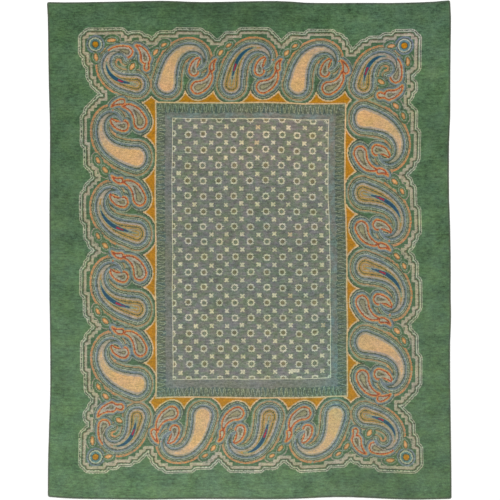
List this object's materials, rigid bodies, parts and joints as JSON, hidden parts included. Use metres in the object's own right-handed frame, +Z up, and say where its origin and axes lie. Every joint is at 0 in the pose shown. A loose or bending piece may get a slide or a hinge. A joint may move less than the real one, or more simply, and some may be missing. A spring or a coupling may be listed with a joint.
{
  "type": "donegal carpet",
  "caption": "Room-size hand-knotted wool carpet lying flat, pile up, with overcast sides, a wide green border and a slate field.",
  "frame": {"origin": "under the middle of the carpet, on the surface that it lies on", "axes": "+Z up out of the pile, +Y along the warps, which is the long way, +X across them"},
  "size_m": [3.0132, 3.7172, 0.012],
  "materials": {
    "pile_wool": "cut wool pile, matt, green ground with slate, cream, peach, ochre and rust pattern",
    "edge_wool": "dark green wool yarn, overcast round the side edges",
    "backing_weave": "ribbed wool and cotton foundation with the knots showing through"
  },
  "bodies": {
    "root": {"carpet": "pile_wool"}
  },
  "joints": []
}
